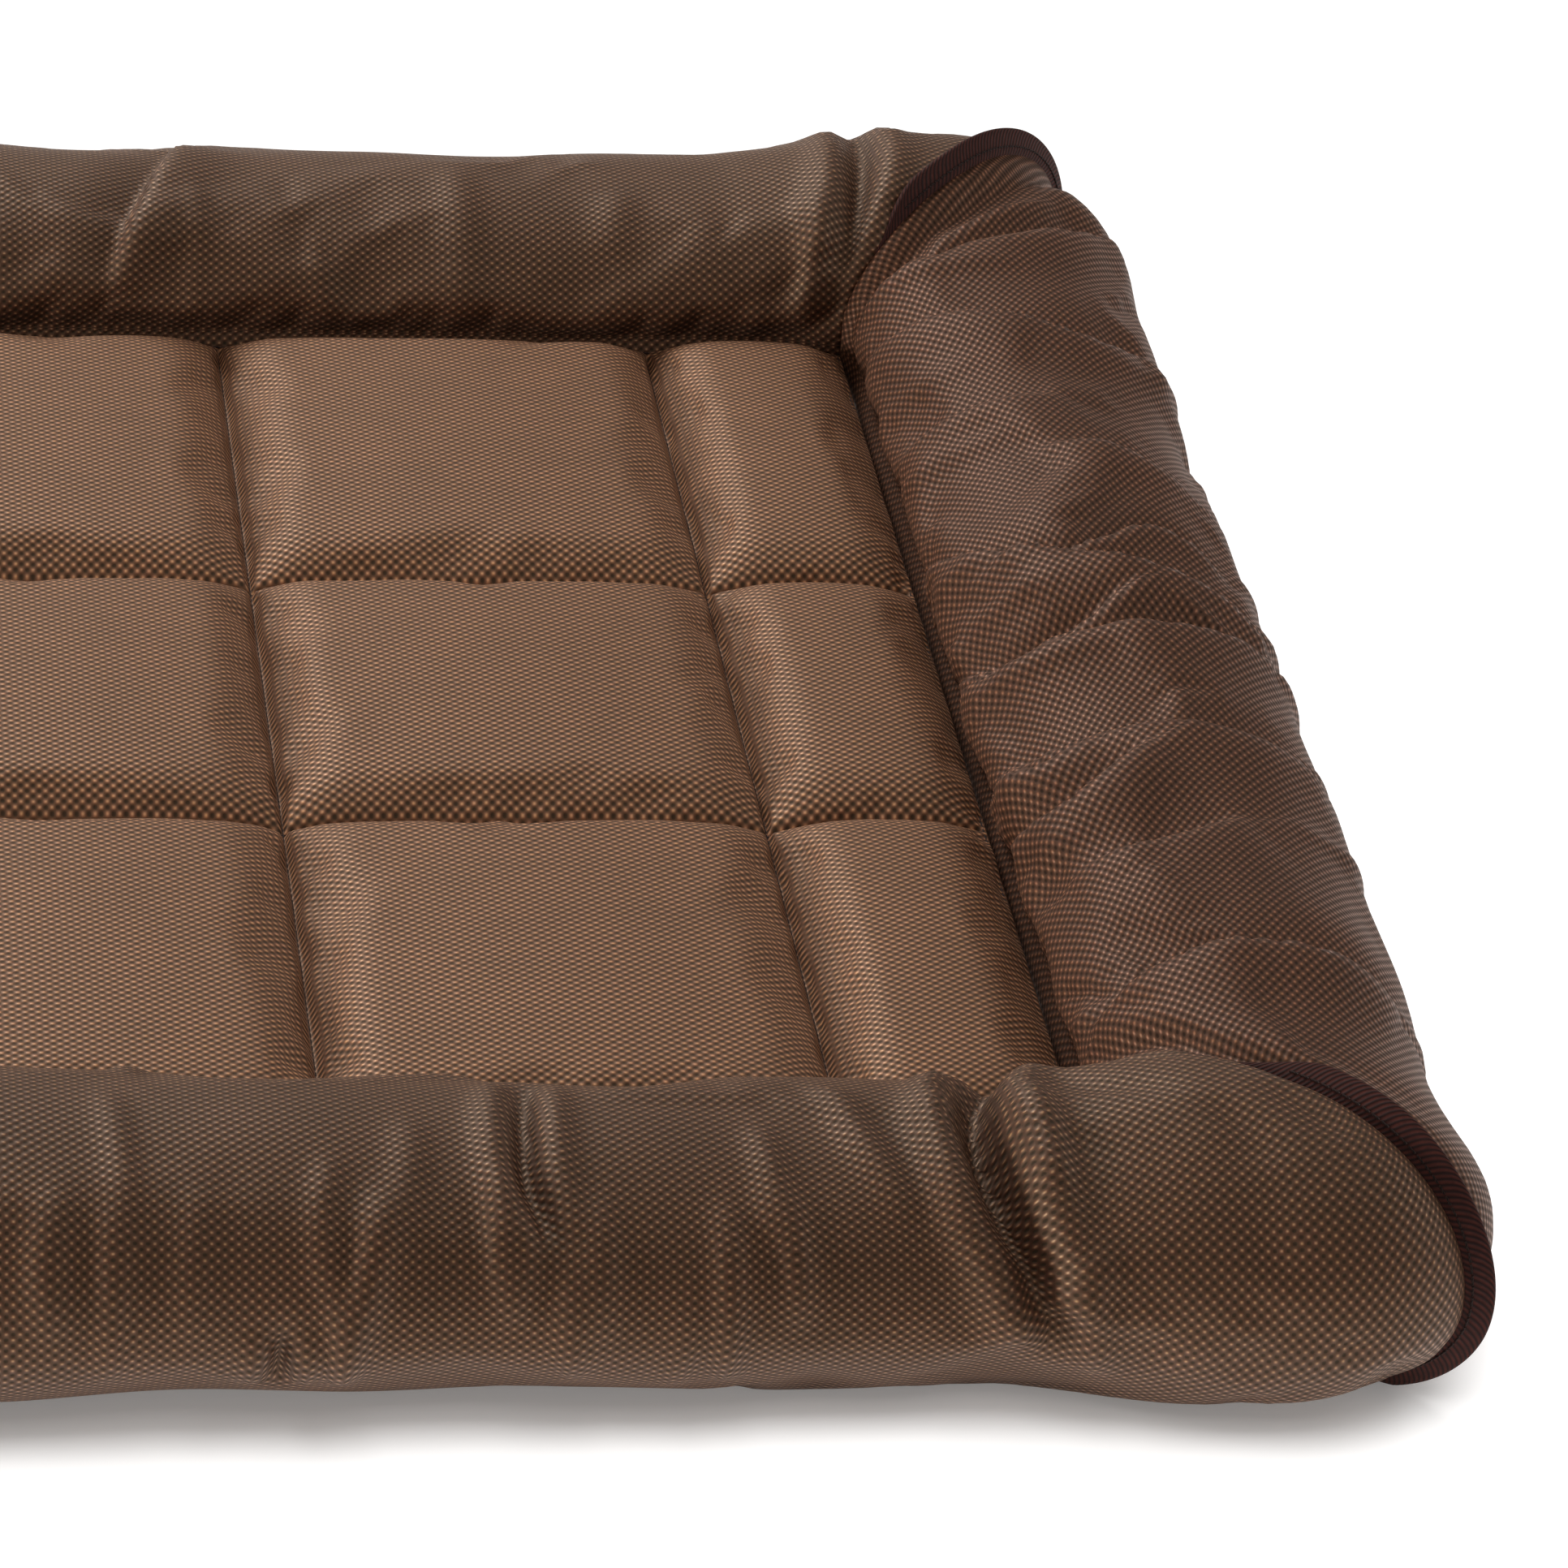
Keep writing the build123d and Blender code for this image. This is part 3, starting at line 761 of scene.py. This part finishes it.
def twill_tape(name, ridge, furrow):
    material, tree, output = new_material(name)
    flat = add_node(tree, "ShaderNodeUVMap", {"uv_map": CLOTH_MAP})
    axes = add_node(tree, "ShaderNodeSeparateXYZ", Vector=flat.outputs[0])
    slant = add_node(tree, "ShaderNodeMath", {"operation": "MULTIPLY_ADD", 1: 0.8},
                     i0=axes.outputs[1], i2=axes.outputs[0])
    phase = add_node(tree, "ShaderNodeMath", {"operation": "MULTIPLY", 1: 2 * math.pi / TWILL_MM},
                     i0=slant.outputs[0])
    wave = add_node(tree, "ShaderNodeMath", {"operation": "SINE"}, i0=phase.outputs[0])
    rib = add_node(tree, "ShaderNodeMapRange", {"From Min": -1.0, "From Max": 0.8}, Value=wave.outputs[0])
    fuzz = add_node(tree, "ShaderNodeTexNoise", {"Scale": 0.6, "Detail": 3.0}, Vector=flat.outputs[0])
    # The colour runs from the near-black furrow colour to the ridge colour with the twill's relief, as
    # painted shade in the furrows and painted light on the ribs, mottled at random by the fuzz.
    rib_shade_and_fuzz = add_node(tree, "ShaderNodeMath", {"operation": "MULTIPLY"},
                    i0=rib.outputs[0], i1=fuzz.outputs["Fac"])
    colour = add_node(tree, "ShaderNodeMix", {"data_type": "RGBA", 6: linear(furrow), 7: linear(ridge)},
                      i0=rib_shade_and_fuzz.outputs[0])
    bump = add_node(tree, "ShaderNodeBump", {"Strength": 0.6, "Distance": 0.3 * MM},
                    Height=rib.outputs[0])
    tape = add_node(tree, "ShaderNodeBsdfPrincipled",
                    {"Roughness": 0.78, "Specular IOR Level": 0.25, "Sheen Weight": 0.06,
                     "Sheen Tint": linear("a0604c")},
                    Base_Color=colour.outputs[2], Normal=bump.outputs[0])
    tree.links.new(tape.outputs[0], output.inputs["Surface"])
    return material


tape_cloth = twill_tape("twill_polyester_binding_tape", ridge="5c2a20", furrow="1e0906")


def seam_loop(side, end):
    """The points of a bolster's mitre seam, their distance round it, and the outward directions."""
    loop = cover_final[side][end]
    round_mm = cover_flat[side][end][:, 1]
    tangent = np.gradient(loop, axis=0)
    tangent /= np.linalg.norm(tangent, axis=1, keepdims=True)
    to_right, to_rear, _ = np.sign(loop.mean(0))
    across = np.array([-to_right * to_rear, 1.0, 0.0]) / 2**0.5
    outward = np.cross(tangent, across)
    outward *= np.sign((outward * (loop - loop.mean(0))).sum())
    return loop, round_mm, outward / np.linalg.norm(outward, axis=1, keepdims=True), across


def at_stops(stops, along, values):
    """A line's vectors at the given distances along it."""
    return np.stack([np.interp(stops, along, values[:, k]) for k in range(3)], 1)


def tape_path(side, end, step_mm=2.0):
    """Even stops along the taped stretch of a corner seam: base points, outward and across."""
    loop, round_mm, outward, across = seam_loop(side, end)
    outer = round_mm > 0.4 * round_mm[-1]
    floor_at = round_mm[outer & (loop[:, 2] < 2.2 * MM)].min()
    start = TAPE_START_MM[side]
    stops = np.linspace(start, floor_at, int((floor_at - start) / step_mm))
    base = at_stops(stops, round_mm, loop)
    out = at_stops(stops, round_mm, outward)
    for _ in range(6):
        base[1:-1] = (base[:-2] + 2 * base[1:-1] + base[2:]) / 4
        out[1:-1] = (out[:-2] + 2 * out[1:-1] + out[2:]) / 4
    out /= np.linalg.norm(out, axis=1, keepdims=True)
    lean = np.radians(TAPE_LEAN_DEGREES[side] * (1 - 0.5 * smooth_step(70, 130, stops)))[:, None]
    leaned_out = np.cos(lean) * out + np.sin(lean) * across
    leaned_across = np.cos(lean) * across - np.sin(lean) * out
    return base, leaned_out, leaned_across, stops


def cap_ends(piece, around, count):
    """Closes both ends of a tube of rings."""
    work = bmesh.new()
    work.from_mesh(piece.data)
    work.verts.ensure_lookup_table()
    work.faces.new([work.verts[i] for i in range(around)])
    work.faces.new([work.verts[(count - 1) * around + i] for i in reversed(range(around))])
    work.to_mesh(piece.data)
    work.free()


def make_tape(corner, side, end, seed):
    base, out, across, stops = tape_path(side, end)
    rng = np.random.default_rng(seed)
    sway = sum(np.sin(stops / rng.uniform(9, 26) + rng.uniform(0, 6.3)) for _ in range(3)) * 0.35
    proud = TAPE_PROUD_MM * (0.12 + 0.88 * smooth_step(0, TAPE_TAPER_MM, stops - stops[0]))
    proud = proud * (1 + 0.04 * np.sin(stops / 11.0))
    turn = np.linspace(0, 2 * math.pi, 20, endpoint=False)
    up = np.sin(turn)
    thick = TAPE_HALF_THICKNESS_MM * np.sign(np.cos(turn)) * np.abs(np.cos(turn)) ** 0.55
    thick = thick * (1 + 0.22 * smooth_step(0.5, 1.0, up))
    reach = -1.2 + (proud[:, None] + 1.2) * (0.5 + 0.5 * np.sign(up) * np.abs(up) ** 0.8)[None, :]
    lean = sway[:, None] * (reach / TAPE_PROUD_MM) ** 2
    rings = base[:, None] + MM * (
        reach[..., None] * out[:, None] + (thick[None, :] + lean)[..., None] * across[:, None]
    )
    rings[..., 2] = np.maximum(rings[..., 2], 0.5 * MM)
    round_tape = turn * 1.1 * TAPE_PROUD_MM / math.pi
    flat = np.stack(np.broadcast_arrays(stops[:, None], round_tape[None, :]), -1)
    tape = sheet_mesh(f"{corner}_binding_tape", rings, flat, wrap_mm=2.2 * TAPE_PROUD_MM)
    cap_ends(tape, rings.shape[1], len(rings))
    tape.data.materials.append(tape_cloth)
    smooth = tape.modifiers.new("subdivision", "SUBSURF")
    smooth.levels = smooth.render_levels = 1
    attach(tape, "root")
    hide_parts(f"{corner}_corner_tape")


CORNERS = {
    "front_right": ("front", -1), "front_left": ("front", 0),
    "back_left": ("back", -1), "back_right": ("back", 0),
}
for seed, (corner, (side, end)) in enumerate(CORNERS.items()):
    make_tape(corner, side, end, seed)

# ---- sewn threads --------------------------------------------------------------------------------
# Bonded polyester thread in lockstitch, coloured darker than the cloth, partly as painted shade for the
# dark seam lines, and darker still in the grooves of its twist as painted shade: along the quilting and the
# border of the mat, and along both faces of each corner tape, near its base.
STITCH_MM = 3.4
STITCH_GAP_MM = 0.5
THREAD_RADIUS_MM = 0.3
TAPE_STITCH_UP_MM = 3.2  # from the seam
TAPE_STITCH_OUT_MM = 1.4  # from the middle of the folded tape


def twisted_thread(name, colour_code):
    material, tree, output = new_material(name)
    flat = add_node(tree, "ShaderNodeUVMap", {"uv_map": CLOTH_MAP})
    twist = add_node(tree, "ShaderNodeTexWave",
                     {"Scale": 0.5, "Distortion": 0.6, "bands_direction": "DIAGONAL"},
                     Vector=flat.outputs[0])
    # The thread is darkest in the grooves of its twist, as painted shade.
    colour = add_node(tree, "ShaderNodeMix",
                      {"data_type": "RGBA", 6: linear("160a06"), 7: linear(colour_code)},
                      i0=twist.outputs["Fac"])
    bump = add_node(tree, "ShaderNodeBump", {"Strength": 0.4, "Distance": 0.1 * MM},
                    Height=twist.outputs["Fac"])
    thread = add_node(tree, "ShaderNodeBsdfPrincipled",
                      {"Roughness": 0.8, "Specular IOR Level": 0.25, "Sheen Weight": 0.05},
                      Base_Color=colour.outputs[2], Normal=bump.outputs[0])
    tree.links.new(thread.outputs[0], output.inputs["Surface"])
    return material


# The thread colour is kept dark partly as painted shade, so that the sunk quilting seams read as dark
# lines.
thread = twisted_thread("bonded_polyester_thread", "34201a")


def stitch_line(points, ups):
    """Stitches along a line of points: where each starts and ends, and its upward side."""
    steps = np.linalg.norm(np.diff(points, axis=0), axis=1)
    along = np.concatenate([[0], np.cumsum(steps)]) / MM
    count = max(1, int(along[-1] / STITCH_MM))
    middles = (np.arange(count) + 0.5) * along[-1] / count
    half = (along[-1] / count - STITCH_GAP_MM) / 2
    start, end = (at_stops(middles + shift, along, points) for shift in (-half, half))
    return start, end, at_stops(middles, along, ups)


def make_stitches(name, node, lines):
    """One piece of many short stitches, each a thread that rises from the cloth and dives back."""
    rings_along, rings_around = 5, 6
    share = np.linspace(0, 1, rings_along)
    bow = 0.75 * np.sin(math.pi * share) - 0.55
    turn = np.linspace(0, 2 * math.pi, rings_around, endpoint=False)
    points = []
    for start, end, up in lines:
        run = end - start
        length = np.linalg.norm(run, axis=1, keepdims=True)
        forward = run / length
        up = up - (up * forward).sum(1, keepdims=True) * forward
        up /= np.linalg.norm(up, axis=1, keepdims=True)
        aside = np.cross(forward, up)
        core = start[:, None] + share[None, :, None] * run[:, None]
        core = core + (bow * THREAD_RADIUS_MM * MM)[None, :, None] * up[:, None]
        ring = core[:, :, None] + THREAD_RADIUS_MM * MM * (
            np.cos(turn)[None, None, :, None] * aside[:, None, None]
            + np.sin(turn)[None, None, :, None] * up[:, None, None]
        )
        points.append(ring)
    points = np.concatenate(points)
    count = len(points)
    index = np.arange(points[..., 0].size).reshape(count, rings_along, rings_around)
    following = np.roll(index, -1, axis=2)
    quads = np.stack([index[:, :-1], following[:, :-1], following[:, 1:], index[:, 1:]], -1)
    faces = quads.reshape(-1, 4).tolist()
    faces += index[:, 0].tolist() + index[:, -1, ::-1].tolist()
    mesh = bpy.data.meshes.new(name)
    mesh.from_pydata(points.reshape(-1, 3).tolist(), [], faces)
    uv = np.zeros((len(mesh.loops), 2))
    loop_vertex = np.empty(len(mesh.loops), np.int32)
    mesh.loops.foreach_get("vertex_index", loop_vertex)
    uv[:, 0] = (loop_vertex // rings_around % rings_along) * STITCH_MM / rings_along
    uv[:, 1] = (loop_vertex % rings_around) * THREAD_RADIUS_MM
    mesh.uv_layers.new(name=CLOTH_MAP).data.foreach_set("uv", uv.ravel())
    mesh.shade_smooth()
    piece = put_in_scene(name, mesh)
    mesh.materials.append(thread)
    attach(piece, "root")
    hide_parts(node)


def straight_line(start, end, up=(0, 0, 1), stops=60):
    share = np.linspace(0, 1, stops)[:, None]
    points = (np.array(start) * (1 - share) + np.array(end) * share) * MM
    return points, np.broadcast_to(np.array(up, float), points.shape)


thread_z = seam_z - SEAM_SINK_MM + 0.1
for name, row in zip(("front", "back"), row_seams):
    line = straight_line((-mat_half_x + 3, row, thread_z), (mat_half_x - 3, row, thread_z))
    make_stitches(f"{name}_row_stitches", f"{name}_row_seam_thread", [stitch_line(*line)])
for number, column in enumerate(column_seams, start=1):
    line = straight_line((column, -mat_half_y + 3, thread_z), (column, mat_half_y - 3, thread_z))
    make_stitches(f"column_stitches_{number}", f"column_seam_thread_{number}", [stitch_line(*line)])
edge_x, edge_y = mat_half_x - 1.0, mat_half_y - 1.0
border_corners = [(-edge_x, -edge_y), (edge_x, -edge_y), (edge_x, edge_y), (-edge_x, edge_y)]
border_lines = [
    stitch_line(*straight_line((*a, seam_z + 0.2), (*b, seam_z + 0.2)))
    for a, b in zip(border_corners, border_corners[1:] + border_corners[:1])
]
make_stitches("border_stitches", "mat_border_seam_thread", border_lines)
for corner, (side, end) in CORNERS.items():
    base, out, across, stops = tape_path(side, end)
    sewn = (stops > stops[0] + 0.6 * TAPE_TAPER_MM) & (base[:, 2] > 6 * MM)
    lines = [
        stitch_line((base + MM * (TAPE_STITCH_UP_MM * out + face * TAPE_STITCH_OUT_MM * across))[sewn],
                    (face * across)[sewn])
        for face in (-1, 1)
    ]
    make_stitches(f"{corner}_tape_stitches", f"{corner}_corner_tape_thread", lines)

# ---- mat wadding ---------------------------------------------------------------------------------
# One sheet of bonded polyester wadding between the two panels, squeezed thin under each seam.
bonded_wadding = white_polyester("bonded_polyester_wadding", clump_mm=9)
BOTTOM_GROOVE_MM = 2.4
BOTTOM_ROUND_MM = 24.0
PANEL_REST_MM = 0.3


def underside(inset_mm):
    """Height of the mat's underside: flat on the floor, dimpled at seams, rounded up to its border."""
    to_border = np.minimum(mat_half_x - np.abs(mat_x), mat_half_y - np.abs(mat_y))
    share = np.clip(1 - to_border / BOTTOM_ROUND_MM, 0, 1)
    curl = (seam_z - 2.5) * (1 - np.sqrt(1 - np.minimum(share, 0.995) ** 2))
    to_column = np.min(np.abs(mat_x[..., None] - np.array(column_seams)), -1)
    to_row = np.min(np.abs(mat_y[..., None] - np.array(row_seams)), -1)
    groove = BOTTOM_GROOVE_MM * np.exp(-((np.minimum(to_column, to_row) / 6.0) ** 2))
    return PANEL_REST_MM + inset_mm + np.maximum(curl, groove)


def closed_block(name, top, bottom):
    """A closed mesh between two grids of points that share their outline's layout."""
    rows, columns = top.shape[:2]
    upper = np.arange(rows * columns).reshape(rows, columns)
    lower = upper + rows * columns
    above = [upper[:-1, :-1], upper[1:, :-1], upper[1:, 1:], upper[:-1, 1:]]
    below = [lower[:-1, :-1], lower[:-1, 1:], lower[1:, 1:], lower[1:, :-1]]
    faces = [np.stack(corners, -1).reshape(-1, 4) for corners in (above, below)]
    for edge, under in ((upper[:, 0], lower[:, 0]), (upper[-1], lower[-1]),
                        (upper[::-1, -1], lower[::-1, -1]), (upper[0, ::-1], lower[0, ::-1])):
        faces.append(np.stack([edge[1:], edge[:-1], under[:-1], under[1:]], -1))
    mesh = bpy.data.meshes.new(name)
    mesh.from_pydata(np.concatenate([top.reshape(-1, 3), bottom.reshape(-1, 3)]).tolist(), [],
                     np.concatenate(faces).tolist())
    mesh.shade_smooth()
    return put_in_scene(name, mesh)


wadding_bottom = np.stack([mat_x, mat_y, underside(FABRIC_MM + 0.6)], -1)
wadding_top = np.stack([mat_x, mat_y, mat_final[..., 2] / MM], -1)
for axis in (0, 1, 0, 1):
    heights = np.moveaxis(wadding_top[..., 2], axis, 0)
    heights[1:-1] = np.minimum(heights[1:-1], np.minimum(heights[:-2], heights[2:]))
wadding_top[..., 2] -= FABRIC_MM + 0.7
wadding_bottom[..., 2] = np.minimum(wadding_bottom[..., 2], wadding_top[..., 2] - 0.4)
inner = np.array([mat_half_x - 2.0, mat_half_y - 2.0])
for grid in (wadding_top, wadding_bottom):
    grid[..., :2] = np.clip(grid[..., :2], -inner, inner)
step = (slice(None, None, 2), slice(None, None, 2))
wadding = closed_block("mat_wadding", wadding_top[step] * MM, wadding_bottom[step] * MM)
wadding.data.materials.append(bonded_wadding)
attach(wadding, "root")
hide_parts("mat_batting")

# ---- bottom panel --------------------------------------------------------------------------------
# A second cut of the nylon closes the mat underneath. It lies on the floor, curls up to the
# border seam at its edges, and shows the quilting as shallow dimpled lines.
bottom_points = np.stack([mat_x, mat_y, underside(0.0)], -1)[::2, ::-2] * MM
bottom_flat = np.stack([mat_x, mat_y], -1)[::2, ::-2]
bottom_panel = sheet_mesh("bottom_panel", bottom_points, bottom_flat)
# The bottom panel reuses the copy of the cloth with lighter tones, painted light.
bottom_panel.data.materials.append(nylon_painted_light)
finish_cloth(bottom_panel)
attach(bottom_panel, "root")
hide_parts("mat_bottom_panel")
